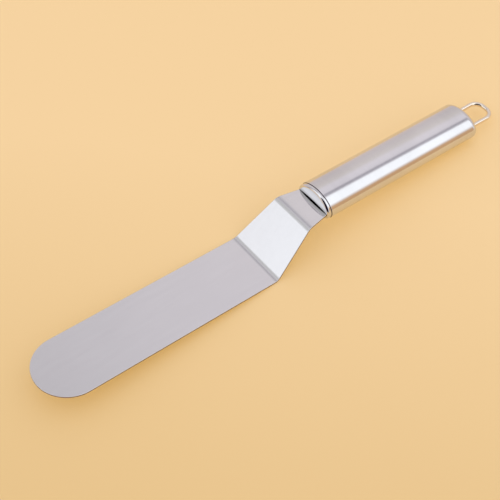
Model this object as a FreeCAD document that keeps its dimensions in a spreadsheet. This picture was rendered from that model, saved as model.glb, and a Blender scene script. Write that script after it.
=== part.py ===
"""Icing smoother: a cranked steel blade, an oval tubular handle and a wire hanging loop.

Every piece is drawn in the tool's own frame, in millimetres.  Its origin is where the
handle's axis meets the front face of the front cap, +X runs back along the handle, and
+Z is up, square to the flat of the blade.  At the end the whole tool is turned down about
Y until the heel of the blade and the rear shoulder of the handle both touch the table,
which is how it lies when it is put down, and is moved so that the origin is at the
bottom centre of its box.
"""
import FreeCAD, Part

import math
import os

import Sketcher
from FreeCAD import Placement, Rotation, Vector

# Driving sizes, in millimetres and degrees.
SIZES = {
    # blade: one stamped and bent sheet, from the round tip to the end of the tang
    "sheet_thickness": 1.0,
    "blade_length": 152.0,       # tip to the lower bend
    "tip_width": 43.0,           # diameter of the round tip
    "heel_width": 41.6,          # across the lower bend, before its corners are rounded
    "neck_width": 25.6,          # where the neck enters the front cap
    "neck_length": 14.6,         # upper bend to the front cap
    "crank_rise": 23.4,          # height of the neck above the blade
    "crank_angle": 41.4,
    "bend_radius": 5.5,          # inside radius of both bends
    "heel_corner_radius": 24.0,
    "tang_width": 16.0,
    "tang_length": 27.0,         # front face of the cap to the end of the tang
    "tang_corner": 2.5,
    "blank_margin": 2.0,         # what the blank has to spare round the outline
    "edge_round": 0.2,
    # handle: an oval tube, closed by a cap at each end
    "handle_width": 28.5,
    "handle_height": 18.0,
    "tube_length": 114.0,
    "tube_wall": 0.8,
    "tube_lip_round": 0.35,
    # front cap
    "cap_height": 3.05,          # front of the face to the seam with the tube
    "cap_inset": 0.25,           # the cap stands in from the tube all round
    "cap_crown": 28.0,           # radius to which the face leans back, above and below
    "cap_edge_round": 1.7,
    "cap_wall": 1.8,
    "spigot_wall": 1.2,
    "spigot_length": 6.0,        # both caps reach this far into the tube
    "spigot_clearance": 0.05,
    "slot_side_clearance": 0.15,
    "slot_clearance": 0.1,
    "slot_arch": 1.3,            # gap above the neck at the middle of the slot
    "slot_depth": 2.2,
    # rear cap
    "rear_height": 5.0,
    "rear_edge_round": 4.2,
    "rear_wall": 1.6,
    # hanging loop
    "wire_diameter": 2.9,
    "loop_pitch": 14.85,         # between the centres of the two legs
    "loop_reach": 19.2,          # rear face to the centre of the cross run
    "loop_corner_radius": 6.1,
    "loop_drop": 1.1,            # the legs sit this far below the middle of the rear face
    "leg_depth": 8.0,            # how far each leg goes into the handle
    "leg_clearance": 0.05,
    # weld beads
    "tang_bead": 1.4,
    "tang_bead_length": 14.0,
    "leg_bead": 1.4,
}

doc = FreeCAD.newDocument("icing_smoother")


def make_sheet():
    """Put every driving size in the spreadsheet, one aliased cell each."""
    table = doc.addObject("Spreadsheet::Sheet", "sizes")
    for row, (name, value) in enumerate(SIZES.items(), start=1):
        table.set("A%d" % row, name)
        table.set("B%d" % row, str(value))
        table.setAlias("B%d" % row, name)
    doc.recompute()
    return table


sheet = make_sheet()


def size(name):
    """One driving size, read back from the spreadsheet."""
    return float(sheet.get(name))


# ---------------------------------------------------------------- drawing helpers

def new_body(name):
    body = doc.addObject("PartDesign::Body", name)
    body.Label = name
    return body


def origin_plane(body, role):
    return [f for f in body.Origin.OriginFeatures if f.Role == role][0]


def new_sketch(body, name, role, offsets=None):
    """A sketch on one of the body's origin planes; offsets move it in its own axes."""
    sketch = body.newObject("Sketcher::SketchObject", name)
    sketch.AttachmentSupport = (origin_plane(body, role), [""])
    sketch.MapMode = "FlatFace"
    for axis, expression in (offsets or {}).items():
        sketch.setExpression("AttachmentOffset.Base." + axis, expression)
    return sketch


def drive(sketch, name, expression, *constraint):
    """Add a dimension to a sketch and bind it to the spreadsheet."""
    index = sketch.addConstraint(Sketcher.Constraint(*constraint))
    sketch.renameConstraint(index, name)
    sketch.setExpression("Constraints." + name, expression)


def link(sketch, *constraints):
    """Add geometric constraints that carry no size."""
    for constraint in constraints:
        sketch.addConstraint(Sketcher.Constraint(*constraint))


def line(sketch, start, end):
    return sketch.addGeometry(Part.LineSegment(Vector(*start, 0), Vector(*end, 0)), False)


def arc(sketch, centre, radius, start_deg, end_deg):
    circle = Part.Circle(Vector(*centre, 0), Vector(0, 0, 1), radius)
    curve = Part.ArcOfCircle(circle, math.radians(start_deg), math.radians(end_deg))
    return sketch.addGeometry(curve, False)


def oval_sketch(body, name, width, height, offset="0"):
    """An ellipse across the handle, at a distance along +X."""
    sketch = new_sketch(body, name, "YZ_Plane", {"z": offset})
    oval = sketch.addGeometry(Part.Ellipse(Vector(0, 0, 0), size("handle_width") / 2,
                                           size("handle_height") / 2), False)
    sketch.exposeInternalGeometry(oval)
    link(sketch, ("Coincident", oval, 3, -1, 1), ("Horizontal", oval + 1))
    drive(sketch, "width", width, "Distance", oval + 1, size("handle_width"))
    drive(sketch, "height", height, "Distance", oval + 2, size("handle_height"))
    return sketch


def pad(body, name, sketch, length, both_ways=False):
    feature = body.newObject("PartDesign::Pad", name)
    feature.Profile = sketch
    feature.setExpression("Length", length)
    feature.Midplane = both_ways
    doc.recompute()
    return feature


def pocket(body, name, sketch, length, reverse=True, both_ways=False):
    """Cut a sketch out of the body, and stop if it removed nothing."""
    before = body.Shape.Volume
    feature = body.newObject("PartDesign::Pocket", name)
    feature.Profile = sketch
    feature.setExpression("Length", length)
    feature.Reversed = reverse
    feature.Midplane = both_ways
    doc.recompute()
    if body.Shape.Volume >= before:
        raise RuntimeError(name + " removed nothing")
    return feature


def fillet(body, name, radius, wanted):
    """Round the edges that the test picks."""
    base = body.Tip
    edges = ["Edge%d" % i for i, edge in enumerate(base.Shape.Edges, start=1) if wanted(edge)]
    feature = body.newObject("PartDesign::Fillet", name)
    feature.Base = (base, edges)
    feature.setExpression("Radius", radius)
    doc.recompute()
    return feature


def lies_across(edge, x, tolerance=0.01):
    """True where the whole edge is at one distance along the handle."""
    box = edge.BoundBox
    return abs(box.XMin - x) < tolerance and abs(box.XMax - x) < tolerance


# ---------------------------------------------------------------- stations along X

CRANK_RUN = "sizes.crank_rise / tan(sizes.crank_angle * 1 deg)"
HEEL_X = "(-sizes.neck_length - %s)" % CRANK_RUN
TIP_X = "(%s - sizes.blade_length)" % HEEL_X
BEND_SETBACK = ("(sizes.bend_radius + sizes.sheet_thickness / 2)"
                " * tan(sizes.crank_angle * 0.5 deg)")
TUBE_END = "(sizes.cap_height + sizes.tube_length)"
REAR_X = "(%s + sizes.rear_height)" % TUBE_END
BORE_WIDTH = "(sizes.handle_width - 2 * sizes.tube_wall)"
BORE_HEIGHT = "(sizes.handle_height - 2 * sizes.tube_wall)"
SPIGOT_WIDTH = "(%s - 2 * sizes.spigot_clearance)" % BORE_WIDTH
SPIGOT_HEIGHT = "(%s - 2 * sizes.spigot_clearance)" % BORE_HEIGHT


def crank_run():
    return size("crank_rise") / math.tan(math.radians(size("crank_angle")))


def heel_x():
    return -size("neck_length") - crank_run()


def tip_x():
    return heel_x() - size("blade_length")


def seam_x():
    return size("cap_height")


def tube_end():
    return size("cap_height") + size("tube_length")


def rear_x():
    return tube_end() + size("rear_height")


def bend_setback():
    middle = size("bend_radius") + size("sheet_thickness") / 2
    return middle * math.tan(math.radians(size("crank_angle") / 2))


# ---------------------------------------------------------------- blade

def blade_side_view(body):
    """The sheet seen from the side: blade, lower bend, crank, upper bend, neck and tang."""
    sketch = new_sketch(body, "blade_side_view", "XZ_Plane")
    turn = size("crank_angle")
    inner = size("bend_radius")
    outer = inner + size("sheet_thickness")
    half = size("sheet_thickness") / 2
    rise = size("crank_rise")
    start = tip_x() - size("blank_margin")
    end = size("tang_length")
    low = (heel_x() - bend_setback(), half + inner - rise)
    high = (-size("neck_length") + bend_setback(), half - outer)

    def off(centre, radius, degrees):
        return (centre[0] + radius * math.cos(math.radians(degrees)),
                centre[1] + radius * math.sin(math.radians(degrees)))

    blade_top = line(sketch, (start, half - rise), off(low, inner, 270))
    low_inner = arc(sketch, low, inner, 270, 270 + turn)
    low_outer = arc(sketch, low, outer, 270, 270 + turn)
    crank_top = line(sketch, off(low, inner, 270 + turn), off(high, outer, 90 + turn))
    crank_under = line(sketch, off(low, outer, 270 + turn), off(high, inner, 90 + turn))
    high_outer = arc(sketch, high, outer, 90, 90 + turn)
    high_inner = arc(sketch, high, inner, 90, 90 + turn)
    neck_top = line(sketch, off(high, outer, 90), (end, half))
    neck_under = line(sketch, off(high, inner, 90), (end, -half))
    blade_under = line(sketch, (start, -half - rise), off(low, outer, 270))
    tip_end = line(sketch, (start, half - rise), (start, -half - rise))
    tang_end = line(sketch, (end, half), (end, -half))
    link(sketch, ("Tangent", blade_top, 2, low_inner, 1), ("Tangent", low_inner, 2, crank_top, 1),
         ("Tangent", crank_top, 2, high_outer, 2), ("Tangent", high_outer, 1, neck_top, 1),
         ("Tangent", blade_under, 2, low_outer, 1), ("Tangent", low_outer, 2, crank_under, 1),
         ("Tangent", crank_under, 2, high_inner, 2), ("Tangent", high_inner, 1, neck_under, 1),
         ("Coincident", tip_end, 1, blade_top, 1), ("Coincident", tip_end, 2, blade_under, 1),
         ("Coincident", tang_end, 1, neck_top, 2), ("Coincident", tang_end, 2, neck_under, 2),
         ("Coincident", low_inner, 3, low_outer, 3), ("Coincident", high_inner, 3, high_outer, 3),
         ("Horizontal", blade_top), ("Horizontal", blade_under), ("Horizontal", neck_top),
         ("Horizontal", neck_under), ("Vertical", tip_end), ("Vertical", tang_end))
    outside = "sizes.bend_radius + sizes.sheet_thickness"
    drive(sketch, "low_inner", "sizes.bend_radius", "Radius", low_inner, inner)
    drive(sketch, "low_outer", outside, "Radius", low_outer, outer)
    drive(sketch, "high_inner", "sizes.bend_radius", "Radius", high_inner, inner)
    drive(sketch, "high_outer", outside, "Radius", high_outer, outer)
    drive(sketch, "turn", "sizes.crank_angle * 1 deg", "Angle", crank_top, math.radians(turn))
    drive(sketch, "start", TIP_X + " - sizes.blank_margin",
          "DistanceX", -1, 1, blade_top, 1, start)
    drive(sketch, "end", "sizes.tang_length", "DistanceX", -1, 1, neck_top, 2, end)
    drive(sketch, "upper_bend", "-sizes.neck_length + " + BEND_SETBACK,
          "DistanceX", -1, 1, high_outer, 3, high[0])
    drive(sketch, "neck_top", "sizes.sheet_thickness / 2",
          "DistanceY", -1, 1, neck_top, 2, half)
    drive(sketch, "blade_top", "sizes.sheet_thickness / 2 - sizes.crank_rise",
          "DistanceY", -1, 1, blade_top, 1, half - rise)
    return sketch


def blade_trimming(body):
    """Plan view of what is trimmed off one side of the bent blank."""
    sketch = new_sketch(body, "blade_trimming", "XY_Plane")
    tip_half = size("tip_width") / 2
    heel_half = size("heel_width") / 2
    neck_half = size("neck_width") / 2
    tang_half = size("tang_width") / 2
    corner_radius = size("heel_corner_radius")
    stop = size("cap_wall")
    end = size("tang_length")
    corner = size("tang_corner")
    margin = 2 * size("blank_margin")
    far = tip_half + margin
    taper = math.degrees(math.atan2(heel_half - neck_half, -heel_x()))
    reach = corner_radius * math.tan(math.radians(taper / 2))
    bottom = math.radians(90 - taper)
    heel_start = (heel_x() - reach, heel_half)
    heel_centre = (heel_start[0], heel_half - corner_radius)
    heel_end = (heel_centre[0] + corner_radius * math.cos(bottom),
                heel_centre[1] + corner_radius * math.sin(bottom))
    round_tip = arc(sketch, (tip_x() + tip_half, 0), tip_half, 90, 180)
    side = line(sketch, (tip_x() + tip_half, tip_half), heel_start)
    heel = arc(sketch, heel_centre, corner_radius, 90 - taper, 90)
    points = [heel_end, (0, neck_half), (stop, neck_half), (stop, tang_half),
              (end - corner, tang_half), (end, tang_half - corner),
              (end + margin, tang_half - corner), (end + margin, far),
              (tip_x() - margin, far), (tip_x() - margin, 0), (tip_x(), 0)]
    edges = [line(sketch, a, b) for a, b in zip(points, points[1:])]
    tapered, in_slot, stop_edge, tang, chamfer, past, outer_end, outer_side, outer_tip, axis = edges
    for first, second in zip(edges, edges[1:]):
        link(sketch, ("Coincident", first, 2, second, 1))
    link(sketch, ("Tangent", round_tip, 1, side, 1), ("Tangent", side, 2, heel, 2),
         ("Tangent", heel, 1, tapered, 1), ("Coincident", axis, 2, round_tip, 2),
         ("PointOnObject", round_tip, 3, -1), ("PointOnObject", axis, 1, -1),
         ("PointOnObject", axis, 2, -1), ("Horizontal", in_slot), ("Vertical", stop_edge),
         ("Horizontal", tang), ("Horizontal", past), ("Vertical", outer_end),
         ("Horizontal", outer_side), ("Vertical", outer_tip), ("PointOnObject", tapered, 2, -2))
    heel_corner = sketch.addGeometry(Part.Point(Vector(heel_x(), heel_half, 0)), True)
    link(sketch, ("PointOnObject", heel_corner, 1, side), ("PointOnObject", heel_corner, 1, tapered))
    drive(sketch, "heel_x", HEEL_X, "DistanceX", -1, 1, heel_corner, 1, heel_x())
    drive(sketch, "heel_half", "sizes.heel_width / 2", "DistanceY", -1, 1, heel_corner, 1, heel_half)
    drive(sketch, "tip_radius", "sizes.tip_width / 2", "Radius", round_tip, tip_half)
    drive(sketch, "tip_x", TIP_X, "DistanceX", -1, 1, axis, 2, tip_x())
    drive(sketch, "heel_corner", "sizes.heel_corner_radius", "Radius", heel, corner_radius)
    drive(sketch, "neck_half", "sizes.neck_width / 2", "DistanceY", -1, 1, tapered, 2, neck_half)
    drive(sketch, "stop", "sizes.cap_wall", "DistanceX", -1, 1, in_slot, 2, stop)
    drive(sketch, "tang_half", "sizes.tang_width / 2", "DistanceY", -1, 1, tang, 1, tang_half)
    drive(sketch, "corner_x", "sizes.tang_length - sizes.tang_corner",
          "DistanceX", -1, 1, tang, 2, end - corner)
    drive(sketch, "tang_end", "sizes.tang_length", "DistanceX", -1, 1, chamfer, 2, end)
    drive(sketch, "corner_y", "sizes.tang_width / 2 - sizes.tang_corner",
          "DistanceY", -1, 1, chamfer, 2, tang_half - corner)
    drive(sketch, "past_end", "2 * sizes.blank_margin", "DistanceX", past, 1, past, 2, margin)
    drive(sketch, "past_side", "sizes.tip_width / 2 + 2 * sizes.blank_margin",
          "DistanceY", -1, 1, outer_side, 1, far)
    drive(sketch, "past_tip", "2 * sizes.blank_margin", "DistanceX", axis, 1, axis, 2, margin)
    return sketch


def make_blade():
    """A bent strip, trimmed to the plan outline on both sides, with its edges eased."""
    body = new_body("blade")
    pad(body, "blade_blank", blade_side_view(body), "sizes.tip_width + 2 * sizes.blank_margin",
        both_ways=True)
    trim = pocket(body, "blade_trim", blade_trimming(body), "4 * sizes.crank_rise",
                  both_ways=True)
    mirror(body, "blade_other_side", trim, "XZ_Plane")
    ease_blade_edges(body)
    return body


def mirror(body, name, feature, role):
    """Repeat a feature on the other side of one of the body's origin planes."""
    before = body.Shape.Volume
    other = body.newObject("PartDesign::Mirrored", name)
    other.Originals = [feature]
    other.MirrorPlane = (origin_plane(body, role), [""])
    body.Tip = other
    doc.recompute()
    if body.Shape.Volume >= before:
        raise RuntimeError(name + " removed nothing")
    return other


def ease_blade_edges(body):
    """Round the cut edge of the blade, crank and neck, above and below."""
    sides = [f for f in body.Tip.Shape.Faces if is_cut_side(f)]
    outline = [e.hashCode() for f in sides for e in f.Edges if not stands_up(e)]
    fillet(body, "blade_edges_eased", "sizes.edge_round", lambda e: e.hashCode() in outline)


def is_cut_side(face):
    """True for the upright faces outside the cap that the plan outline cut."""
    middle = face.CenterOfMass
    u0, u1, v0, v1 = face.ParameterRange
    normal = face.normalAt((u0 + u1) / 2, (v0 + v1) / 2)
    return abs(normal.z) < 0.01 and middle.x < -1.0


def stands_up(edge):
    return edge.BoundBox.XLength < 0.01 or edge.Length < 1.5 * size("sheet_thickness")


# ---------------------------------------------------------------- front cap and its weld

def slot_sketch(body):
    """The slot for the neck: flat below, arched above, seen from the front."""
    sketch = new_sketch(body, "slot_outline", "YZ_Plane", {"z": "sizes.slot_depth"})
    half_width = size("neck_width") / 2 + size("slot_side_clearance")
    sheet_half = size("sheet_thickness") / 2
    under = -sheet_half - size("slot_clearance")
    over = sheet_half + size("slot_clearance")
    top = sheet_half + size("slot_arch")
    sagitta = top - over
    radius = (half_width ** 2 + sagitta ** 2) / (2 * sagitta)
    lean = math.degrees(math.asin(half_width / radius))
    floor = line(sketch, (-half_width, under), (half_width, under))
    right = line(sketch, (half_width, under), (half_width, over))
    crown = arc(sketch, (0, top - radius), radius, 90 - lean, 90 + lean)
    left = line(sketch, (-half_width, over), (-half_width, under))
    link(sketch, ("Coincident", floor, 2, right, 1), ("Coincident", right, 2, crown, 1),
         ("Coincident", crown, 2, left, 1), ("Coincident", left, 2, floor, 1),
         ("Vertical", right), ("Vertical", left), ("Symmetric", floor, 1, floor, 2, -2),
         ("PointOnObject", crown, 3, -2))
    drive(sketch, "width", "sizes.neck_width + 2 * sizes.slot_side_clearance",
          "DistanceX", floor, 1, floor, 2, 2 * half_width)
    drive(sketch, "under", "-sizes.sheet_thickness / 2 - sizes.slot_clearance",
          "DistanceY", -1, 1, floor, 1, under)
    drive(sketch, "over", "sizes.sheet_thickness / 2 + sizes.slot_clearance",
          "DistanceY", -1, 1, right, 2, over)
    half = "(sizes.neck_width / 2 + sizes.slot_side_clearance)"
    rise = "(sizes.slot_arch - sizes.slot_clearance)"
    drive(sketch, "crown", "(%s ^ 2 + %s ^ 2) / (2 * %s)" % (half, rise, rise),
          "Radius", crown, radius)
    return sketch


def crown_sketch(body):
    """Side view of what is cut off the cap's face, so that it leans back from the neck."""
    sketch = new_sketch(body, "crown_outline", "XZ_Plane")
    radius = size("cap_crown")
    reach = size("handle_height") / 2
    front = -size("cap_height")
    lean = math.degrees(math.asin(reach / radius))
    back = radius * (1 - math.cos(math.radians(lean)))
    face = arc(sketch, (radius, 0), radius, 180 - lean, 180 + lean)
    under = line(sketch, (back, -reach), (front, -reach))
    before = line(sketch, (front, -reach), (front, reach))
    over = line(sketch, (front, reach), (back, reach))
    link(sketch, ("Coincident", face, 2, under, 1), ("Coincident", under, 2, before, 1),
         ("Coincident", before, 2, over, 1), ("Coincident", over, 2, face, 1),
         ("PointOnObject", face, 3, -1), ("PointOnObject", -1, 1, face),
         ("Horizontal", under), ("Horizontal", over), ("Vertical", before),
         ("Equal", over, under))
    drive(sketch, "crown", "sizes.cap_crown", "Radius", face, radius)
    drive(sketch, "reach", "sizes.handle_height / 2", "DistanceY", -1, 1, over, 2, reach)
    drive(sketch, "front", "-sizes.cap_height", "DistanceX", -1, 1, before, 1, front)
    return sketch


def lies_on_crown(edge):
    """True for the rim between the cap's crowned face and its side."""
    return edge.BoundBox.XMax < 0.9 * size("cap_height")


def make_front_cap():
    """A polished oval cup, face forward, with a spigot into the tube and a slot for the neck."""
    body = new_body("front_cap")
    inset = " - 2 * sizes.cap_inset"
    face = oval_sketch(body, "cap_outline", "sizes.handle_width" + inset,
                       "sizes.handle_height" + inset)
    pad(body, "cap_block", face, "sizes.cap_height")
    pocket(body, "cap_crown", crown_sketch(body), "sizes.handle_width", both_ways=True)
    fillet(body, "cap_edge", "sizes.cap_edge_round", lies_on_crown)
    spigot = oval_sketch(body, "cap_spigot_outline", SPIGOT_WIDTH, SPIGOT_HEIGHT,
                         "sizes.cap_wall")
    pad(body, "cap_spigot", spigot,
        "sizes.cap_height - sizes.cap_wall + sizes.spigot_length")
    hollow = oval_sketch(body, "cap_hollow_outline", SPIGOT_WIDTH + " - 2 * sizes.spigot_wall",
                         SPIGOT_HEIGHT + " - 2 * sizes.spigot_wall", "sizes.cap_wall")
    pocket(body, "cap_hollow", hollow, "sizes.cap_height + sizes.spigot_length")
    pocket(body, "cap_slot", slot_sketch(body), "sizes.slot_depth + sizes.cap_height",
           reverse=False)
    return body


def make_tang_weld():
    """A quarter-round bead in the corner between the tang and the inside of the cap."""
    body = new_body("tang_weld")
    bead = size("tang_bead")
    wall = size("cap_wall")
    under = -size("sheet_thickness") / 2
    sketch = new_sketch(body, "bead_section", "XZ_Plane")
    top = line(sketch, (wall + bead, under), (wall, under))
    back = line(sketch, (wall, under), (wall, under - bead))
    face = arc(sketch, (wall, under), bead, 270, 360)
    link(sketch, ("Coincident", top, 2, back, 1), ("Coincident", back, 2, face, 1),
         ("Coincident", face, 2, top, 1), ("Coincident", face, 3, back, 1),
         ("Horizontal", top), ("Vertical", back))
    drive(sketch, "size", "sizes.tang_bead", "Radius", face, bead)
    drive(sketch, "wall", "sizes.cap_wall", "DistanceX", -1, 1, back, 1, wall)
    drive(sketch, "under", "-sizes.sheet_thickness / 2", "DistanceY", -1, 1, back, 1, under)
    pad(body, "bead", sketch, "sizes.tang_bead_length", both_ways=True)
    return body


# ---------------------------------------------------------------- tube and rear cap

def make_handle_tube():
    """The oval grip: a straight tube with an eased front lip."""
    body = new_body("handle_tube")
    outside = oval_sketch(body, "tube_outline", "sizes.handle_width", "sizes.handle_height",
                          "sizes.cap_height")
    pad(body, "tube_block", outside, "sizes.tube_length")
    fillet(body, "tube_lip", "sizes.tube_lip_round", lambda e: lies_across(e, seam_x()))
    bore = oval_sketch(body, "bore_outline", BORE_WIDTH, BORE_HEIGHT)
    pocket(body, "bore", bore, TUBE_END + " + sizes.rear_height")
    return body


def make_rear_cap():
    """The rounded rear end: a cup flush with the tube, drilled for the legs of the loop."""
    body = new_body("rear_cap")
    outside = oval_sketch(body, "rear_outline", "sizes.handle_width", "sizes.handle_height",
                          TUBE_END)
    pad(body, "rear_block", outside, "sizes.rear_height")
    fillet(body, "rear_edge", "sizes.rear_edge_round", lambda e: lies_across(e, rear_x()))
    spigot = oval_sketch(body, "rear_spigot_outline", SPIGOT_WIDTH, SPIGOT_HEIGHT,
                         TUBE_END + " - sizes.spigot_length")
    pad(body, "rear_spigot", spigot, "sizes.spigot_length")
    hollow = oval_sketch(body, "rear_hollow_outline", SPIGOT_WIDTH + " - 2 * sizes.spigot_wall",
                         SPIGOT_HEIGHT + " - 2 * sizes.spigot_wall",
                         TUBE_END + " - sizes.spigot_length")
    pocket(body, "rear_hollow", hollow,
           "sizes.spigot_length + sizes.rear_height - sizes.rear_wall")
    drill_leg_holes(body)
    return body


def drill_leg_holes(body):
    """Two holes through the end wall, one for each leg of the loop."""
    sketch = new_sketch(body, "leg_holes", "YZ_Plane",
                        {"z": TUBE_END, "y": "-sizes.loop_drop"})
    half_pitch = size("loop_pitch") / 2
    radius = size("wire_diameter") / 2 + size("leg_clearance")
    names = ("right", "left")
    for name, y in zip(names, (half_pitch, -half_pitch)):
        circle = Part.Circle(Vector(y, 0, 0), Vector(0, 0, 1), radius)
        hole = sketch.addGeometry(circle, False)
        link(sketch, ("PointOnObject", hole, 3, -1))
        drive(sketch, name + "_radius", "sizes.wire_diameter / 2 + sizes.leg_clearance",
              "Radius", hole, radius)
        sign = "" if y > 0 else "-"
        drive(sketch, name + "_y", sign + "sizes.loop_pitch / 2",
              "DistanceX", -1, 1, hole, 3, y)
    pocket(body, "leg_holes_drilled", sketch, "2 * sizes.rear_height")


# ---------------------------------------------------------------- hanging loop and its welds

def loop_path(body):
    """The wire's centre line: in one leg, round two corners, across, and back in."""
    sketch = new_sketch(body, "loop_path", "XY_Plane", {"z": "-sizes.loop_drop"})
    half = size("loop_pitch") / 2
    radius = size("loop_corner_radius")
    inner_end = rear_x() - size("leg_depth")
    across = rear_x() + size("loop_reach")
    leg_a = line(sketch, (inner_end, -half), (across - radius, -half))
    turn_a = arc(sketch, (across - radius, radius - half), radius, 270, 360)
    cross = line(sketch, (across, radius - half), (across, half - radius))
    turn_b = arc(sketch, (across - radius, half - radius), radius, 0, 90)
    leg_b = line(sketch, (across - radius, half), (inner_end, half))
    link(sketch, ("Tangent", leg_a, 2, turn_a, 1), ("Tangent", turn_a, 2, cross, 1),
         ("Tangent", cross, 2, turn_b, 1), ("Tangent", turn_b, 2, leg_b, 1),
         ("Horizontal", leg_a), ("Horizontal", leg_b), ("Symmetric", leg_a, 1, leg_b, 2, -1),
         ("Equal", turn_a, turn_b))
    drive(sketch, "corner", "sizes.loop_corner_radius", "Radius", turn_a, radius)
    drive(sketch, "half_pitch", "sizes.loop_pitch / 2", "DistanceY", -1, 1, leg_b, 2, half)
    drive(sketch, "inner_end", REAR_X + " - sizes.leg_depth",
          "DistanceX", -1, 1, leg_b, 2, inner_end)
    drive(sketch, "reach", REAR_X + " + sizes.loop_reach",
          "DistanceX", -1, 1, cross, 1, across)
    return sketch


def make_hanging_loop():
    """One length of round wire, bent to a squarish U and set in the rear cap."""
    body = new_body("hanging_loop")
    path = loop_path(body)
    section = new_sketch(body, "wire_section", "YZ_Plane",
                         {"z": REAR_X + " - sizes.leg_depth", "y": "-sizes.loop_drop"})
    radius = size("wire_diameter") / 2
    half = size("loop_pitch") / 2
    circle = Part.Circle(Vector(-half, 0, 0), Vector(0, 0, 1), radius)
    ring = section.addGeometry(circle, False)
    link(section, ("PointOnObject", ring, 3, -1))
    drive(section, "radius", "sizes.wire_diameter / 2", "Radius", ring, radius)
    drive(section, "leg", "-sizes.loop_pitch / 2", "DistanceX", -1, 1, ring, 3, -half)
    doc.recompute()
    pipe = body.newObject("PartDesign::AdditivePipe", "loop_wire")
    pipe.Profile = section
    pipe.Spine = path
    doc.recompute()
    return body


def make_loop_weld(name, side):
    """A ring of weld round one leg of the loop, on the inside of the rear cap's wall."""
    body = new_body(name)
    bead = size("leg_bead")
    wire = size("wire_diameter") / 2
    leg = side * size("loop_pitch") / 2
    wall = rear_x() - size("rear_wall")
    sketch = new_sketch(body, name + "_section", "XY_Plane", {"z": "-sizes.loop_drop"})
    back = line(sketch, (wall, leg + wire), (wall, leg + wire + bead))
    face = arc(sketch, (wall, leg + wire), bead, 90, 180)
    foot = line(sketch, (wall - bead, leg + wire), (wall, leg + wire))
    link(sketch, ("Coincident", back, 2, face, 1), ("Coincident", face, 2, foot, 1),
         ("Coincident", foot, 2, back, 1), ("Coincident", face, 3, back, 1),
         ("Vertical", back), ("Horizontal", foot))
    leg_centre = ("" if side > 0 else "-") + "sizes.loop_pitch / 2"
    drive(sketch, "size", "sizes.leg_bead", "Radius", face, bead)
    drive(sketch, "wall", REAR_X + " - sizes.rear_wall", "DistanceX", -1, 1, back, 1, wall)
    drive(sketch, "wire", leg_centre + " + sizes.wire_diameter / 2",
          "DistanceY", -1, 1, back, 1, leg + wire)
    axis = line(sketch, (wall - bead, leg), (wall, leg))
    sketch.setConstruction(axis, True)
    link(sketch, ("Horizontal", axis), ("Vertical", axis, 2, back, 1),
         ("Vertical", axis, 1, foot, 1))
    drive(sketch, "leg", leg_centre, "DistanceY", -1, 1, axis, 1, leg)
    doc.recompute()
    ring = body.newObject("PartDesign::Revolution", name + "_ring")
    ring.Profile = sketch
    ring.ReferenceAxis = (sketch, ["Axis0"])
    ring.Angle = 360.0
    doc.recompute()
    return body


# ---------------------------------------------------------------- laying the tool down

def resting_turn():
    """How far the tool turns about Y before heel and rear shoulder touch one level."""
    outer = size("bend_radius") + size("sheet_thickness")
    heel = Vector(heel_x() - bend_setback(), 0,
                  outer - size("sheet_thickness") / 2 - size("crank_rise"))
    round_end = size("rear_edge_round")
    rear = Vector(rear_x() - round_end, 0, round_end - size("handle_height") / 2)
    between = rear - heel
    slope = math.atan2(between.z, between.x)
    return math.degrees(slope - math.asin((round_end - outer) / between.Length))


def lay_down(bodies):
    """Turn every piece onto the table, then put the origin at the bottom centre."""
    turn = Rotation(Vector(0, 1, 0), resting_turn())
    for body in bodies:
        body.Placement = Placement(Vector(0, 0, 0), turn)
    doc.recompute()
    boxes = [body.Shape.optimalBoundingBox(True, False) for body in bodies]
    middle = (min(b.XMin for b in boxes) + max(b.XMax for b in boxes)) / 2
    lowest = min(b.ZMin for b in boxes)
    for body in bodies:
        body.Placement = Placement(Vector(-middle, 0, -lowest), turn)
    doc.recompute()


# ---------------------------------------------------------------- checking and writing

def stop_on_faults():
    """Stop if any object failed to build or any solid is missing or unsound."""
    for item in doc.Objects:
        if "Invalid" in item.State or "Error" in item.State:
            raise RuntimeError(item.Name + " did not build: " + str(item.State))
    for body in bodies:
        shape = body.Shape
        if shape.isNull() or not shape.isValid() or len(shape.Solids) != 1:
            raise RuntimeError(body.Label + " is not one sound solid")


bodies = [
    make_blade(),
    make_front_cap(),
    make_tang_weld(),
    make_handle_tube(),
    make_rear_cap(),
    make_hanging_loop(),
    make_loop_weld("loop_weld_left", -1),
    make_loop_weld("loop_weld_right", 1),
]
lay_down(bodies)
stop_on_faults()

os.makedirs("parts", exist_ok=True)
for body in bodies:
    body.Shape.exportStep("parts/" + body.Label + ".step")
    box = body.Shape.optimalBoundingBox(True, False)
    print("%-16s volume %9.1f  x %8.2f %8.2f  y %7.2f %7.2f  z %7.2f %7.2f" % (
        body.Label, body.Shape.Volume, box.XMin, box.XMax, box.YMin, box.YMax,
        box.ZMin, box.ZMax))
print("turned down by %.2f degrees" % resting_turn())
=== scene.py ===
# %% [markdown]
# # An icing smoother, dressed from its frame
# An icing smoother is a cook's tool: a long thin steel blade, stepped up to a tubular
# handle so that the fingers stay clear of the cake.  The whole tool is stainless steel,
# so there is hardly any colour to paint.  What the eye reads is how each piece was
# finished (satin or polished) and what it mirrors.  The solids come from the frame, and
# this file gives them their finish, their floor, their light and their camera.

# %% The frame and the units
import math

import bpy
from mathutils import Matrix, Vector


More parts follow.
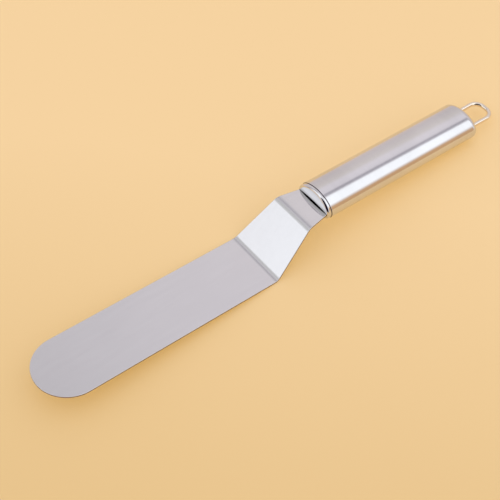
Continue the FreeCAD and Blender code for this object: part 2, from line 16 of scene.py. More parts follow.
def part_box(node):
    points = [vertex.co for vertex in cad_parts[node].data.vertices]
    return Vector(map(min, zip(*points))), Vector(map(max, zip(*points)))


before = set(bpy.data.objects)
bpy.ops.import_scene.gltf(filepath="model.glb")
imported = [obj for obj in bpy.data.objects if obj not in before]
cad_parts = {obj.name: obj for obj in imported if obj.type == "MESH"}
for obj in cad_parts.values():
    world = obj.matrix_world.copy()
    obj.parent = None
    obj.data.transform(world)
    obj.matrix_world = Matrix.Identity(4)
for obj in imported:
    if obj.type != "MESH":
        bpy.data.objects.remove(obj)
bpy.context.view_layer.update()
MM = 0.001
print("pieces in the frame:", sorted(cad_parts))
for name in sorted(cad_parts):
    low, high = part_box(name)
    print("  %-16s %s mm" % (name, [round((high[i] - low[i]) / MM, 1) for i in range(3)]))

# %% [markdown]
# ## Colour by the numbers
# Blender's sockets take linear light, while a colour read off a screen is in sRGB.  This
# small helper turns one into the other, so the finishes and the card can be written the
# way a painter's picker shows them.

# %% Screen colours
def screen(red, green, blue):
    """A colour picked on screen, 0 to 255, as the linear colour a shader wants."""
    out = []
    for value in (red, green, blue):
        share = value / 255
        out.append(share / 12.92 if share <= 0.04045 else ((share + 0.055) / 1.055) ** 2.4)
    return (*out, 1.0)

print("mid grey 128 is", round(screen(128, 128, 128)[0], 3), "in linear light")

# %% [markdown]
# ## Node helpers
# Materials are node trees.  Building them by hand takes many lines that all look alike,
# so three short helpers add a node with its values, join two sockets and start a
# material with an empty tree.

# %% Adding and joining nodes
def add(tree, kind, at=(0, 0), label="", **values):
    """A new node; values that match a property set it, the others set an input socket."""
    node = tree.nodes.new(kind)
    node.location = at
    node.label = label
    for key, value in values.items():
        if hasattr(node, key):
            setattr(node, key, value)
        else:
            node.inputs[key.replace("_", " ")].default_value = value
    return node


def join(tree, source, target):
    tree.links.new(source, target)


def empty_material(name):
    material = bpy.data.materials.new(name)
    material.use_nodes = True
    material.node_tree.nodes.clear()
    return material

print("node helpers:", ", ".join(tool.__name__ for tool in (add, join, empty_material)))

# %% [markdown]
# ## Masks
# A mask is a number from 0 to 1 that says where something goes.  Nearly every mask in
# this file asks how far a vector reaches along a direction.  For a point on the tool that
# tells its place along the tool, for a surface normal it tells which way the face looks,
# and for a ray it tells where in the room the ray ends.  A soft step then makes a mask
# out of that reach.

# %% Reach, distance and soft steps
def toward(tree, way, direction, at, label):
    """How far a vector reaches along a direction."""
    node = add(tree, "ShaderNodeVectorMath", at, label, operation="DOT_PRODUCT")
    node.inputs[1].default_value = Vector(direction).normalized()
    join(tree, way, node.inputs[0])
    return node.outputs["Value"]


def distance_from(tree, value, middle, at):
    """How far a value is from a middle one, either way."""
    shift = add(tree, "ShaderNodeMath", at, "from the middle", operation="SUBTRACT")
    shift.inputs[1].default_value = middle
    size = add(tree, "ShaderNodeMath", (at[0], at[1] - 60), "distance", operation="ABSOLUTE")
    join(tree, value, shift.inputs[0])
    join(tree, shift.outputs[0], size.inputs[0])
    return size.outputs[0]


def ease(tree, value, low, high, at, label):
    """0 below low, 1 above high, and a soft step between; high may be the lower one."""
    node = add(tree, "ShaderNodeMapRange", at, label, interpolation_type="SMOOTHSTEP")
    node.inputs["From Min"].default_value = low
    node.inputs["From Max"].default_value = high
    join(tree, value, node.inputs["Value"])
    return node.outputs[0]


def both(tree, first, second, at):
    """Two masks, or two shares, multiplied together."""
    node = add(tree, "ShaderNodeMath", at, operation="MULTIPLY")
    join(tree, first, node.inputs[0])
    join(tree, second, node.inputs[1])
    return node.outputs[0]

print("mask helpers:", ", ".join(tool.__name__ for tool in (toward, distance_from, ease, both)))

# %% [markdown]
# ## Laying a colour over another
# The Mix node has several sockets of the same name, one set for each type of data, so
# they are found by their number.  The four numbers below are those of the colour set.

# %% Paint over
MIX_SHARE, MIX_UNDER, MIX_OVER, MIX_RESULT = 0, 6, 7, 2


def paint_over(tree, under, share, colour, at, label):
    """Lay a colour over what is there, as far as the mask allows."""
    node = add(tree, "ShaderNodeMix", at, label, data_type="RGBA")
    node.inputs[MIX_OVER].default_value = (*colour[:3], 1.0)
    join(tree, share, node.inputs[MIX_SHARE])
    if isinstance(under, tuple):
        node.inputs[MIX_UNDER].default_value = (*under[:3], 1.0)
    else:
        join(tree, under, node.inputs[MIX_UNDER])
    return node.outputs[MIX_RESULT]

print("colours are laid over with the Mix node's sockets", (MIX_UNDER, MIX_OVER))

# %% [markdown]
# ## Brushing lines, as a reusable group
# Satin steel is steel that a fine belt has dragged over.  The belt leaves thousands of
# hair-thin grooves, all one way.  A noise texture that is squeezed across the grooves
# and stretched along them gives just that.  It is used on the blade, the grip and, very
# weakly, on the polished pieces, so it is built once as a node group with inputs.

# %% The brushing group
PER_METRE = 1000.0


def make_brushing():
    """Single grooves and wider streaks, each counted in lines per millimetre."""
    tree = bpy.data.node_groups.new("brushing_lines", "ShaderNodeTree")
    side = tree.interface
    side.new_socket("Vector", in_out="INPUT", socket_type="NodeSocketVector")
    for name, value in (("Lines per mm", 6.0), ("Streak", 0.5)):
        socket = side.new_socket(name, in_out="INPUT", socket_type="NodeSocketFloat")
        socket.default_value = value
    start = add(tree, "NodeGroupInput", (-700, 0))
    end = add(tree, "NodeGroupOutput", (500, 0))
    for given, result, row, noise in (
            ("Lines per mm", "Lines", 120, {"Detail": 2.0, "Roughness": 0.6}),
            ("Streak", "Streaks", -180, {"Detail": 3.0, "Roughness": 0.55})):
        side.new_socket(result, in_out="OUTPUT", socket_type="NodeSocketFloat")
        scale = add(tree, "ShaderNodeMath", (-450, row - 60), given + ", per metre",
                    operation="MULTIPLY")
        scale.inputs[1].default_value = PER_METRE
        grain = add(tree, "ShaderNodeTexNoise", (-200, row), result, **noise)
        join(tree, start.outputs[given], scale.inputs[0])
        join(tree, start.outputs["Vector"], grain.inputs["Vector"])
        join(tree, scale.outputs[0], grain.inputs["Scale"])
        join(tree, grain.outputs["Fac"], end.inputs[result])
    return tree

brushing = make_brushing()
print("group", brushing.name, "puts out", [s.name for s in brushing.interface.items_tree
                                           if s.in_out == "OUTPUT"])

# %% [markdown]
# ## Traces of handling, as a second group
# Even a clean tool isn't evenly bright: a wiped film of moisture or fat changes the
# gloss in soft patches, and washing leaves a few hairline scratches.  The film is plain
# noise.  The scratches are the thin borders in a texture of cells, bent a little by noise
# so that they don't run straight.  Both are kept faint.

# %% The handling group
SCRATCH_BEND, SCRATCH_WIDTH = 0.012, 0.012


def make_handling():
    tree = bpy.data.node_groups.new("handling_traces", "ShaderNodeTree")
    side = tree.interface
    side.new_socket("Vector", in_out="INPUT", socket_type="NodeSocketVector")
    side.new_socket("Film", in_out="OUTPUT", socket_type="NodeSocketFloat")
    side.new_socket("Scratches", in_out="OUTPUT", socket_type="NodeSocketFloat")
    start = add(tree, "NodeGroupInput", (-900, 0))
    end = add(tree, "NodeGroupOutput", (500, 0))
    film = add(tree, "ShaderNodeTexNoise", (-300, 200), "wiped film", Scale=28.0, Detail=4.0)
    join(tree, start.outputs["Vector"], film.inputs["Vector"])
    join(tree, film.outputs["Fac"], end.inputs["Film"])
    warp = add(tree, "ShaderNodeTexNoise", (-700, -200), "bends the scratches", Scale=18.0)
    bent = add(tree, "ShaderNodeVectorMath", (-500, -200), operation="MULTIPLY_ADD")
    bent.inputs[1].default_value = (SCRATCH_BEND,) * 3
    join(tree, start.outputs["Vector"], warp.inputs["Vector"])
    join(tree, warp.outputs["Color"], bent.inputs[0])
    join(tree, start.outputs["Vector"], bent.inputs[2])
    cells = add(tree, "ShaderNodeTexVoronoi", (-300, -200), "scratch cells", Scale=70.0,
                feature="DISTANCE_TO_EDGE")
    thin = add(tree, "ShaderNodeMapRange", (-100, -200), "only the thin edges")
    thin.inputs["From Max"].default_value = SCRATCH_WIDTH
    thin.inputs["To Min"].default_value = 1.0
    thin.inputs["To Max"].default_value = 0.0
    join(tree, bent.outputs[0], cells.inputs["Vector"])
    join(tree, cells.outputs["Distance"], thin.inputs["Value"])
    join(tree, thin.outputs[0], end.inputs["Scratches"])
    return tree

handling = make_handling()
print("group", handling.name, "ready, scratches", SCRATCH_WIDTH, "of a cell wide")

# %% [markdown]
# ## The seam between cap and tube, as a third group
# The front cap is pushed into the tube until their rims meet.  The fine gap between the
# two holds some polish, and its shade is painted into the colour as a dark line: painted
# shade that runs over the edges of both pieces.  So both finishes need the same mask: how
# near is this point to the joint, along the handle?

# %% The seam group
HANDLE_AXIS = (0.99575, 0.0, -0.09207)
SEAM_AT, SEAM_HALF = 27.36 * MM, 0.22 * MM
# The seam's colour: painted shade in the gap, mixed with polish residue.
SEAM_SHADE_AND_POLISH = screen(62, 54, 58)


def make_seam():
    """1 in the gap, and nothing any more at 1.6 times its half width."""
    tree = bpy.data.node_groups.new("cap_seam", "ShaderNodeTree")
    side = tree.interface
    side.new_socket("Vector", in_out="INPUT", socket_type="NodeSocketVector")
    side.new_socket("Gap", in_out="OUTPUT", socket_type="NodeSocketFloat")
    start = add(tree, "NodeGroupInput", (-700, 0))
    end = add(tree, "NodeGroupOutput", (200, 0))
    along = toward(tree, start.outputs["Vector"], HANDLE_AXIS, (-500, 0), "along the handle")
    off = distance_from(tree, along, SEAM_AT, (-300, 0))
    gap = ease(tree, off, 1.6 * SEAM_HALF, 0.6 * SEAM_HALF, (-50, 0), "in the gap")
    join(tree, gap, end.inputs["Gap"])
    return tree

cap_seam = make_seam()
print("group", cap_seam.name, "marks", round(SEAM_AT / MM, 2), "mm along the handle")

# %% [markdown]
# ## The stamped edge of the sheet
# A blade that is stamped out of sheet isn't bright on its edge.  The punch shears the top
# of it smooth and tears the rest, which stays dull and a little dark.  Its colour is painted
# darker still, as painted shade, so that from above it shows as a hair-thin dark line round
# the blade.  The edge faces are the only ones whose normal lies in the plane of the sheet,
# so a mask on the object-space normal finds them.

# %% The stamped edge
SHEET_UP = (0.09207, 0.0, 0.99575)
EDGE_MIDDLE, EDGE_FULL, EDGE_GONE = -0.25, 0.34, 0.52
# Edge colour: the dull torn metal, darkened further as painted shade.
TORN_METAL_AND_SHADE, TORN_ROUGHNESS = screen(128, 106, 108), 0.35


def dull_and_shaded_edge(tree, place, metal, gloss):
    """Make the torn edge of the sheet rougher than its faces, and paint it darker as shade."""
    lift = toward(tree, place.outputs["Normal"], SHEET_UP, (-650, 700), "faces up")
    off = distance_from(tree, lift, EDGE_MIDDLE, (-450, 700))
    torn = ease(tree, off, EDGE_GONE, EDGE_FULL, (-250, 700), "on the edge")
    # Painted shade: the edge's colour is darkened here.
    colour = paint_over(tree, metal, torn, TORN_METAL_AND_SHADE, (150, 620), "torn metal and painted shade")
    matt = add(tree, "ShaderNodeMath", (150, 760), "torn roughness", operation="MULTIPLY_ADD")
    matt.inputs[1].default_value = TORN_ROUGHNESS
    join(tree, torn, matt.inputs[0])
    join(tree, gloss, matt.inputs[2])
    return colour, matt.outputs[0]

print("a face is edge until it leans up by %.0f degrees, and no more from %.0f degrees on"
      % tuple(math.degrees(math.asin(EDGE_MIDDLE + reach)) for reach in (EDGE_FULL, EDGE_GONE)))

# %% [markdown]
# ## The buffed neck
# The wheel that brightens the cap can't help running over the neck in front of it.  So
# the satin of the blade gives way to a smoother finish there, and the cap shows in it
# more clearly.  A mask along the tool takes the roughness down between two places.

# %% The buffed neck
NECK_SATIN_ENDS, NECK_BUFFED_FROM = 14.0 * MM, 9.0 * MM
BUFFED_SHARE = 0.35
cap_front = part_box("front_cap")[0][0]


def buff_neck(tree, place, gloss):
    """Take the roughness down on the last stretch before the cap."""
    along = toward(tree, place.outputs["Object"], HANDLE_AXIS, (-650, 900), "along the tool")
    buffed = ease(tree, along, cap_front - NECK_SATIN_ENDS, cap_front - NECK_BUFFED_FROM,
                  (-450, 900), "in front of the cap")
    left = add(tree, "ShaderNodeMapRange", (-250, 900), "share of the satin left")
    left.inputs["To Min"].default_value = 1.0
    left.inputs["To Max"].default_value = BUFFED_SHARE
    join(tree, buffed, left.inputs["Value"])
    return both(tree, gloss, left.outputs[0], (0, 880))

print("satin ends %.0f mm before the cap, and the last %.0f mm are buffed"
      % (NECK_SATIN_ENDS / MM, NECK_BUFFED_FROM / MM))

# %% [markdown]
# ## The colour of the metal
# Stainless steel is a light grey that mirrors about 70 percent of what falls on it.  The
# belt's streaks make it a little lighter and darker, and the wiped film does the same in
# soft patches.  Both are shares close to 1, so they are multiplied and scale the grey.

# %% Streaked and wiped metal
STREAK_REACH, FILM_REACH = (0.3, 0.7), (0.35, 0.65)


def vary(tree, noise, reach, change, at, label):
    """Turn noise into a share around 1, less or more by the change."""
    node = add(tree, "ShaderNodeMapRange", at, label)
    node.inputs["From Min"].default_value, node.inputs["From Max"].default_value = reach
    node.inputs["To Min"].default_value = 1.0 - change
    node.inputs["To Max"].default_value = 1.0 + change
    join(tree, noise, node.inputs["Value"])
    return node.outputs[0]


def metal_colour(tree, grain, traces, colour, tone, patch):
    streaked = vary(tree, grain.outputs["Streaks"], STREAK_REACH, tone, (-350, 260),
                    "streak tone")
    wiped = vary(tree, traces.outputs["Film"], FILM_REACH, patch, (-350, 120), "wiped patches")
    tint = add(tree, "ShaderNodeVectorMath", (0, 300), "metal colour", operation="SCALE")
    tint.inputs[0].default_value = colour[:3]
    join(tree, both(tree, streaked, wiped, (-150, 200)), tint.inputs["Scale"])
    return tint.outputs[0]

print("steel mirrors", round(100 * screen(220, 219, 220)[0]), "percent of the light")

# %% [markdown]
# ## The gloss of the metal
# Roughness tells how blurred a mirror image is.  The film changes it in soft patches, and
# where a scratch runs it goes up sharply.

# %% Film and scratches on the roughness
FILM_SHARE = 0.05


def metal_gloss(tree, traces, roughness, scratch):
    filmed = add(tree, "ShaderNodeMapRange", (-350, 0), "film on roughness")
    filmed.inputs["To Min"].default_value = roughness * (1.0 - FILM_SHARE)
    filmed.inputs["To Max"].default_value = roughness * (1.0 + 2.0 * FILM_SHARE)
    join(tree, traces.outputs["Film"], filmed.inputs["Value"])
    hair = add(tree, "ShaderNodeMath", (-100, 40), "scratches", operation="MULTIPLY_ADD")
    hair.inputs[1].default_value = scratch
    join(tree, traces.outputs["Scratches"], hair.inputs[0])
    join(tree, filmed.outputs[0], hair.inputs[2])
    return hair.outputs[0]

print("the film takes the roughness from %.0f to %.0f percent of its value"
      % (100 * (1.0 - FILM_SHARE), 100 * (1.0 + 2.0 * FILM_SHARE)))

# %% [markdown]
# ## One recipe for every steel
# Each steel on the tool is the same metal.  Only the finish differs, so one function
# builds the tree and each finish passes its own numbers: how rough, how strong the
# grooves are and which way they run.  The stretch squeezes the texture along each axis,
# so a small number makes long lines that way.  The grooves go into a Bump node, so they
# catch the light as real ones do.

# %% The steel recipe
STREAKS_PER_MM, GROOVE_DEPTH = 0.35, 0.2 * MM


def steel(name, colour, roughness, stretch, groove, tone, lines=6.0, patch=0.0,
          scratch=0.0, seam=False, stamped=False):
    """A brushed or polished steel."""
    material = empty_material(name)
    tree = material.node_tree
    out = add(tree, "ShaderNodeOutputMaterial", (900, 0))
    shader = add(tree, "ShaderNodeBsdfPrincipled", (600, 0), Metallic=1.0)
    join(tree, shader.outputs["BSDF"], out.inputs["Surface"])
    place = add(tree, "ShaderNodeTexCoord", (-1100, 0))
    spot = place.outputs["Object"]
    squeeze = add(tree, "ShaderNodeMapping", (-900, 120), "grain direction")
    squeeze.inputs["Scale"].default_value = stretch
    join(tree, spot, squeeze.inputs["Vector"])
    grain = add(tree, "ShaderNodeGroup", (-650, 120), node_tree=brushing)
    grain.inputs["Lines per mm"].default_value = lines
    grain.inputs["Streak"].default_value = STREAKS_PER_MM
    join(tree, squeeze.outputs["Vector"], grain.inputs["Vector"])
    traces = add(tree, "ShaderNodeGroup", (-650, -160), node_tree=handling)
    join(tree, spot, traces.inputs["Vector"])
    metal = metal_colour(tree, grain, traces, colour, tone, patch)
    gloss = metal_gloss(tree, traces, roughness, scratch)
    # Paint the seam's dark line: painted shade in the gap, with some polish residue.
    if seam:
        joint = add(tree, "ShaderNodeGroup", (-350, 480), node_tree=cap_seam)
        join(tree, spot, joint.inputs["Vector"])
        metal = paint_over(tree, metal, joint.outputs["Gap"], SEAM_SHADE_AND_POLISH, (150, 420),
                           "polish and shade")
    if stamped:
        # The edge gets painted shade and more roughness; the neck gets less roughness.
        metal, gloss = dull_and_shaded_edge(tree, place, metal, buff_neck(tree, place, gloss))
    join(tree, metal, shader.inputs["Base Color"])
    join(tree, gloss, shader.inputs["Roughness"])
    bump = add(tree, "ShaderNodeBump", (300, -200), "grooves", Strength=groove,
               Distance=GROOVE_DEPTH)
    join(tree, grain.outputs["Lines"], bump.inputs["Height"])
    join(tree, bump.outputs["Normal"], shader.inputs["Normal"])
    return material

print("the recipe is ready, with a bump distance of", round(GROOVE_DEPTH / MM, 2), "mm")

# %% [markdown]
# ## The five finishes
# The blade has a soft satin, brushed lengthwise, and its own stamped edge and buffed
# neck.  The grip is finer and brushed round its girth, because such tubes are turned
# against the belt, so its bands of light stay crisp from end to end.  The front cap and
# the wire loop are buffed bright.  The weld beads inside are left as they cooled: dull
# and slightly straw coloured.

# %% Making the finishes
blade_steel = steel("blade_satin", screen(220, 219, 220), 0.20, (0.03, 1.0, 1.0),
                    groove=0.02, tone=0.010, patch=0.012, scratch=0.03, stamped=True)
grip_steel = steel("grip_satin", screen(220, 219, 220), 0.115, (1.0, 0.06, 0.06),
                   groove=0.02, tone=0.012, lines=5.0, patch=0.04, seam=True)
cap_steel = steel("cap_polish", screen(221, 220, 221), 0.07, (0.3, 1.0, 1.0),
                  groove=0.01, tone=0.01, seam=True)
loop_steel = steel("loop_polish", screen(240, 229, 213), 0.10, (0.1, 1.0, 1.0),
                   groove=0.02, tone=0.02)
weld_steel = steel("weld_scale", screen(168, 158, 140), 0.42, (1.0, 0.3, 1.0),
                   groove=0.4, tone=0.12, lines=2.0)
finish_of = {
    "blade": blade_steel,
    "front_cap": cap_steel,
    "tang_weld": weld_steel,
    "handle_tube": grip_steel,
    "rear_cap": grip_steel,
    "hanging_loop": loop_steel,
    "loop_weld_left": weld_steel,
    "loop_weld_right": weld_steel,
}
for name, material in finish_of.items():
    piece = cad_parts[name]
    piece.data.materials.clear()
    piece.data.materials.append(material)
    print("%-16s wears %s" % (name, material.name))

# %% [markdown]
# ## The card
# The tool lies on a plain pale sheet of card in a warm peach.  Its colour is painted a
# shade deeper at the near left and lighter toward the back and the right: painted light, as
# a sheet shows that gets its light from one side.  A faint mottle keeps it from looking
# printed.

# %% The card's colour
CARD_DEEP, CARD_PALE = screen(235, 201, 148), screen(249, 216, 168)
# The gradient below is painted light: deeper at the near left, lighter toward the back and the
# right.
PAINTED_LIGHT_WAY, PAINTED_LIGHT_FROM, PAINTED_LIGHT_TO = (0.784, 0.621, 0.0), -0.19, 0.07
MOTTLE_SHARE, RAMP_START = 0.12, 0.06


def card_material():
    material = empty_material("peach_card")
    tree = material.node_tree
    out = add(tree, "ShaderNodeOutputMaterial", (900, 0))
    shader = add(tree, "ShaderNodeBsdfPrincipled", (600, 0), Roughness=0.9)
    shader.inputs["Specular IOR Level"].default_value = 0.2
    join(tree, shader.outputs["BSDF"], out.inputs["Surface"])
    spot = add(tree, "ShaderNodeTexCoord", (-900, 0)).outputs["Object"]
    mottle = add(tree, "ShaderNodeTexNoise", (-600, -150), "uneven card", Scale=6.0, Detail=5.0)
    join(tree, spot, mottle.inputs["Vector"])
    # Painted light: how far the point lies toward the lighter back and right.
    painted_light = toward(tree, spot, PAINTED_LIGHT_WAY, (-600, 100), "back and right")
    spread = add(tree, "ShaderNodeMapRange", (-400, 100), "across the card")
    spread.inputs["From Min"].default_value = PAINTED_LIGHT_FROM
    spread.inputs["From Max"].default_value = PAINTED_LIGHT_TO
    join(tree, painted_light, spread.inputs["Value"])
    blend = add(tree, "ShaderNodeMath", (-200, 0), "fade and mottle", operation="MULTIPLY_ADD")
    blend.inputs[1].default_value = MOTTLE_SHARE
    join(tree, mottle.outputs["Fac"], blend.inputs[0])
    join(tree, spread.outputs[0], blend.inputs[2])
    colour = add(tree, "ShaderNodeValToRGB", (0, 0), "card colour")
    deep, pale = colour.color_ramp.elements
    deep.position, deep.color = RAMP_START, CARD_DEEP
    pale.position, pale.color = 1.0, CARD_PALE
    join(tree, blend.outputs[0], colour.inputs["Fac"])
    join(tree, colour.outputs["Color"], shader.inputs["Base Color"])
    return material

card = card_material()
print("the card fades over", round((PAINTED_LIGHT_TO - PAINTED_LIGHT_FROM) / MM), "mm")

# %% [markdown]
# ## The floor
# A metal object shows its floor twice, once beside it and once mirrored in it, so the
# sheet is real geometry and runs far enough out to be mirrored right to the horizon.

# %% Laying the floor
def lay_floor(half_side=2.5):
    mesh = bpy.data.meshes.new("floor_card")
    corners = [(-half_side, -half_side, 0), (half_side, -half_side, 0),
               (half_side, half_side, 0), (-half_side, half_side, 0)]
    mesh.from_pydata(corners, [], [(0, 1, 2, 3)])
    floor = bpy.data.objects.new("floor_card", mesh)
    bpy.context.scene.collection.objects.link(floor)
    mesh.materials.append(card)
    return floor

floor = lay_floor()
print("floor", [round(v, 2) for v in floor.dimensions], "m")

# %% [markdown]
# ## The room
# Bright metal has no look of its own: it shows the room it stands in.  So the room is
# painted by direction, as stage scenery is: first the far walls, then one patch after
# another over them.  Each patch is a soft mask on the direction that a ray flies in.  Its
# tone is written as the brightness that the metal should see, and a helper turns that
# into a share of the room's own strength.

# %% An empty room
ROOM_LEVEL = 1.4
UP = (0.0, 0.0, 1.0)
room = bpy.data.worlds.new("studio_room")
bpy.context.scene.world = room
room.use_nodes = True
scenery = room.node_tree
scenery.nodes.clear()
way = add(scenery, "ShaderNodeTexCoord", (-1300, 0)).outputs["Generated"]
height = toward(scenery, way, UP, (-1000, 350), "height")


def level(tone):
    """A brightness as the metal should see it, as a share of the room's level."""
    return tuple(value / ROOM_LEVEL for value in tone)

print("an empty room of strength", ROOM_LEVEL)

# %% [markdown]
# ### The far walls
# The blade and the neck lie nearly flat, so they mirror what is high up beyond them, and
# the top of the grip mirrors the far walls from the floor upward.  A colour ramp over the
# height gives one grey for all of that, warm at the bottom and lighter near the top.

# %% Painting the far walls
WALL_TONES = ((0.00, (0.83, 0.67, 0.56)), (0.15, (0.75, 0.65, 0.64)),
              (0.30, (0.71, 0.65, 0.66)), (0.50, (0.74, 0.68, 0.68)),
              (0.63, (0.79, 0.735, 0.72)), (0.72, (0.89, 0.845, 0.90)),
              (0.80, (0.87, 0.83, 0.89)))
walls = add(scenery, "ShaderNodeValToRGB", (-650, 350), "far walls by height")
stops = walls.color_ramp.elements
while len(stops) < len(WALL_TONES):
    stops.new(0.5)
for stop, (place, tone) in zip(stops, WALL_TONES):
    stop.position = place
    stop.color = (*level(tone), 1.0)
join(scenery, height, walls.inputs["Fac"])
look = walls.outputs["Color"]
print("far walls with", len(stops), "tones")

# %% [markdown]
# ### An unlit patch and a dark line
# A bend of the sheet mirrors the whole ceiling within a few millimetres, so whatever is
# dark up there becomes a dark line along the bend.  That is an unlit patch of the far
# ceiling, which deepens toward its middle.  A narrow dark line also runs up the room
# beside the diffuser, and draws the thin dark line along the grip.

# %% Painting the patch and the line
UNLIT_WAY, UNLIT_FROM, UNLIT_FULL = (0.19, 0.50, 0.845), 0.31, 0.03
UNLIT_TONE = (0.56, 0.545, 0.56)
LINE_WAY, LINE_AT, LINE_GONE, LINE_FULL = (-0.573, -0.678, 0.461), 0.02, 0.07, 0.04
LINE_TONE = (0.47, 0.45, 0.50)
far = toward(scenery, way, UNLIT_WAY, (-1000, 200), "far ceiling")
angle = add(scenery, "ShaderNodeMath", (-850, 150), "angle from it", operation="ARCCOSINE")
join(scenery, far, angle.inputs[0])
unlit = add(scenery, "ShaderNodeMapRange", (-700, 120), "unlit ceiling")
unlit.inputs["From Min"].default_value = UNLIT_FROM
unlit.inputs["From Max"].default_value = UNLIT_FULL
join(scenery, angle.outputs[0], unlit.inputs["Value"])
look = paint_over(scenery, look, unlit.outputs[0], level(UNLIT_TONE), (-300, 300),
                  "unlit ceiling")
across = toward(scenery, way, LINE_WAY, (-1000, 20), "across the line")
apart = distance_from(scenery, across, LINE_AT, (-850, 20))
line = ease(scenery, apart, LINE_GONE, LINE_FULL, (-700, 20), "dark line")
look = paint_over(scenery, look, line, level(LINE_TONE), (-150, 250), "dark line")
print("unlit patch", round(2 * math.degrees(UNLIT_FROM)), "degrees across")

# %% [markdown]
# ### The white diffuser and a grey beam
# A large white diffuser takes up the whole near side.  It makes the bright band along the
# grip, and the crank mirrors it as plain white.  At the far left, high up, a grey beam
# crosses its edge.  The cap mirrors the beam into the neck, where it is the dark lens.

# %% Painting the diffuser and the beam
WHITE_WAY, WHITE_FROM, WHITE_FULL = (-0.514, -0.810, 0.293), -0.04, 0.055
WHITE_TONE = (1.30, 1.34, 1.40)
BEAM_WAY, BEAM_FROM, BEAM_FULL = (-0.33, 0.51, 0.79), 0.962, 0.994
BEAM_TONE = (0.64, 0.64, 0.64)
side = toward(scenery, way, WHITE_WAY, (-1000, -120), "near side")
white = ease(scenery, side, WHITE_FROM, WHITE_FULL, (-700, -120), "diffuser edge")
look = paint_over(scenery, look, white, level(WHITE_TONE), (0, 200), "white diffuser")
far_left = toward(scenery, way, BEAM_WAY, (-1000, 90), "far left")
beam = ease(scenery, far_left, BEAM_FROM, BEAM_FULL, (-700, 60), "beam")
look = paint_over(scenery, look, beam, level(BEAM_TONE), (25, 190), "beam")
print("beam", round(2 * math.degrees(math.acos(BEAM_FROM))), "degrees across")

# %% [markdown]
# ### Overhead, and a low wall
# Straight overhead the ceiling is a plain light grey, for the flat faces as seen from
# above.  Below the diffuser stands a low pale wall.  One stretch of it is tan, and that
# is the warm band low on the near side of the grip.

# %% Painting overhead and the low wall
OVERHEAD_FROM, OVERHEAD_FULL, OVERHEAD_TONE = 0.90, 0.985, (0.95, 0.93, 0.97)
LOW_TOP, LOW_FULL, LOW_TONE = 0.62, 0.26, (0.84, 0.79, 0.79)
TAN_SIDE, TAN_GONE, TAN_FULL = (0.848, 0.530, 0.0), 0.24, 0.12
TAN_TONE = (0.72, 0.44, 0.23)
overhead = ease(scenery, height, OVERHEAD_FROM, OVERHEAD_FULL, (-700, -240), "overhead")
look = paint_over(scenery, look, overhead, level(OVERHEAD_TONE), (50, 175), "overhead")
low_down = ease(scenery, height, LOW_TOP, LOW_FULL, (-700, -420), "wall top")
near_wall = both(scenery, white, low_down, (-450, -400))
look = paint_over(scenery, look, near_wall, level(LOW_TONE), (100, 160), "low near wall")
beside = toward(scenery, way, TAN_SIDE, (-1000, -300), "beside the tan stretch")
aside = distance_from(scenery, beside, 0.0, (-850, -300))
within = ease(scenery, aside, TAN_GONE, TAN_FULL, (-700, -300), "tan stretch")
tan = both(scenery, within, near_wall, (-450, -340))
look = paint_over(scenery, look, tan, level(TAN_TONE), (150, 150), "tan stretch")
print("low wall up to", round(math.degrees(math.asin(LOW_TOP))), "degrees above the floor")

# %% [markdown]
# ### A dark shape
# Polished steel only looks bright beside something dark.  A large dark shape at the near
# left gives the black crescent on the cap's rim and the dark spot on the loop's corner.

# %% Painting the dark shape
SHAPE_WAY, SHAPE_REACH, SHAPE_SOFT = (-0.72, -0.50, 0.48), 0.70, 0.03
DARK_TONE = (0.02, 0.015, 0.03)
near_left = toward(scenery, way, SHAPE_WAY, (-1000, -560), "near left")
shape = ease(scenery, near_left, SHAPE_REACH - SHAPE_SOFT, SHAPE_REACH + SHAPE_SOFT,
             (-700, -560), "dark shape")
look = paint_over(scenery, look, shape, level(DARK_TONE), (300, 100), "dark shape")
shape_across = 2 * math.degrees(math.acos(SHAPE_REACH))
print("dark shape", round(shape_across), "degrees across")

# %% [markdown]
# ### One background for each kind of ray
# A world can answer each kind of ray in its own way.  Mirrored rays get the painted room.
# Rays that light matt surfaces get a calm pair of tones, warm from low down and near and
# cool from the other side, so the card is lit evenly.  The camera gets the card's own
# colour, so that nothing ends at a hard horizon.

# %% Three backgrounds
COOL_LIGHT, WARM_LIGHT = (0.66, 0.66, 0.79), (0.79, 0.72, 0.72)
WARM_WAY, WARM_FROM, WARM_FULL = (0.30, -0.85, -0.43), -0.7, 0.8
mirrored = add(scenery, "ShaderNodeBackground", (500, 0), "what the metal sees",
               Strength=ROOM_LEVEL)
join(scenery, look, mirrored.inputs["Color"])
low_near = toward(scenery, way, WARM_WAY, (-300, -500), "low and near")
warm = ease(scenery, low_near, WARM_FROM, WARM_FULL, (-100, -500), "warm side")
soft = add(scenery, "ShaderNodeBackground", (500, -150), "what lights the card")
join(scenery, paint_over(scenery, COOL_LIGHT, warm, WARM_LIGHT, (150, -400), "cool to warm"),
     soft.inputs["Color"])
plain = add(scenery, "ShaderNodeBackground", (500, -300), "what the camera sees",
            Color=screen(238, 211, 169))
print("three backgrounds:", ", ".join(node.label for node in (mirrored, soft, plain)))

# %% [markdown]
# The Light Path node tells what kind of ray is asking.  Two Mix Shader nodes use that to
# choose: first between the room and the calm light, then between those and the plain one.

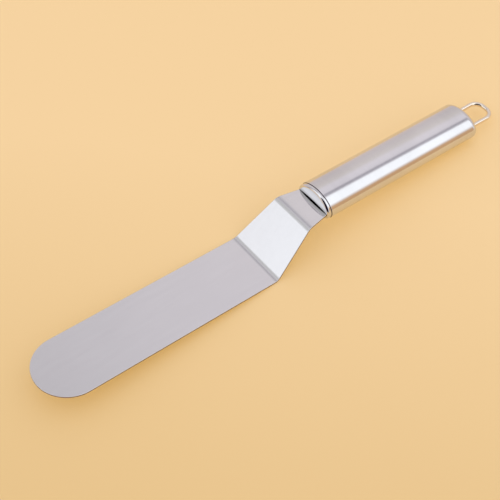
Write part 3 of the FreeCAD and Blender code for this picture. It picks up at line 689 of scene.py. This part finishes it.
# %% Choosing between them
rays = add(scenery, "ShaderNodeLightPath", (500, 300))
lit = add(scenery, "ShaderNodeMixShader", (750, -50), "mirrored or matt")
join(scenery, rays.outputs["Is Glossy Ray"], lit.inputs[0])
join(scenery, soft.outputs[0], lit.inputs[1])
join(scenery, mirrored.outputs[0], lit.inputs[2])
pick = add(scenery, "ShaderNodeMixShader", (900, 0), "or the camera")
join(scenery, rays.outputs["Is Camera Ray"], pick.inputs[0])
join(scenery, lit.outputs[0], pick.inputs[1])
join(scenery, plain.outputs[0], pick.inputs[2])
surface = add(scenery, "ShaderNodeOutputWorld", (1050, 0))
join(scenery, pick.outputs[0], surface.inputs["Surface"])
print("room painted with", len(scenery.nodes), "nodes")

# %% [markdown]
# ## The card's own glow
# A large pale sheet throws warm light back up at itself from all around, so nothing on it
# casts a deep shadow.  A weak warm sun straight overhead, which throws no shadow and isn't
# mirrored in the metal, stands for that.  The shadows stay, but they stay light and warm.

# %% Adding the glow
def add_sun(name, strength, colour):
    data = bpy.data.lights.new(name, "SUN")
    data.energy = strength
    data.color = colour
    lamp = bpy.data.objects.new(name, data)
    bpy.context.scene.collection.objects.link(lamp)
    return lamp

glow = add_sun("card_glow", 0.88, (1.0, 0.98, 0.46))
glow.location = UP
glow.data.use_shadow = False
glow.visible_glossy = False
print("glow lifts the card by", round(glow.data.energy / math.pi, 2), "of its own colour")

# %% [markdown]
# ## A lamp for three pieces only
# The dark shape suits the cap and the loop, but the flat blade and the smooth grip would
# mirror it as plain black when seen from behind.  A lamp can be linked to chosen pieces:
# its receiver collection lists the only ones that it lights.  So a soft lamp, as wide as
# the shape, stands in front of it for the blade, the tube and the rear cap.

# %% Adding the fill
fill = add_sun("left_fill", 1.25, (0.95, 0.93, 1.0))
fill.data.angle = math.radians(shape_across)
fill.rotation_mode = "QUATERNION"
fill.rotation_quaternion = Vector(SHAPE_WAY).to_track_quat("Z", "Y")
served = bpy.data.collections.new("served_by_left_fill")
for name in ("blade", "handle_tube", "rear_cap"):
    served.objects.link(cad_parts[name])
fill.light_linking.receiver_collection = served

# %% [markdown]
# ## The camera
# The photograph was taken from the front left and from well above, with a long lens.
# The numbers below came from fitting the outline of the solids to the photograph: the
# direction, a small tilt of the camera about its own axis, the distance and the lens.

# %% Placing the camera
AZIMUTH, ELEVATION, ROLL = -34.062, 52.176, -4.301
DISTANCE, RIGHT_OFF, UP_OFF = 801.2 * MM, 17.178 * MM, 2.773 * MM
FOCAL_PIXELS, FRAME_PIXELS = 1344.5, 500.0
SENSOR_WIDTH = 36.0


def place_camera():
    a, e, roll = (math.radians(v) for v in (AZIMUTH, ELEVATION, ROLL))
    back = Vector((math.sin(a) * math.cos(e), -math.cos(a) * math.cos(e), math.sin(e)))
    sideways = Vector((math.cos(a), math.sin(a), 0.0))
    over = back.cross(sideways)
    right = sideways * math.cos(roll) + over * math.sin(roll)
    up = over * math.cos(roll) - sideways * math.sin(roll)
    data = bpy.data.cameras.new("photo_camera")
    data.sensor_width = SENSOR_WIDTH
    data.lens = SENSOR_WIDTH * FOCAL_PIXELS / FRAME_PIXELS
    data.clip_start = 0.05
    data.clip_end = 50.0
    camera = bpy.data.objects.new("photo_camera", data)
    bpy.context.scene.collection.objects.link(camera)
    spot = back * DISTANCE - right * RIGHT_OFF - up * UP_OFF
    turned = Matrix((right, up, back)).transposed().to_4x4()
    camera.matrix_world = Matrix.Translation(spot) @ turned
    bpy.context.scene.camera = camera
    return camera

camera = place_camera()
print("lens %.1f mm, camera at %s m" % (camera.data.lens,
                                        [round(v, 3) for v in camera.location]))

# %% [markdown]
# ## Plain colours
# The Standard view transform shows colours as they are written.

# %% Finishing
bpy.context.scene.view_settings.view_transform = "Standard"
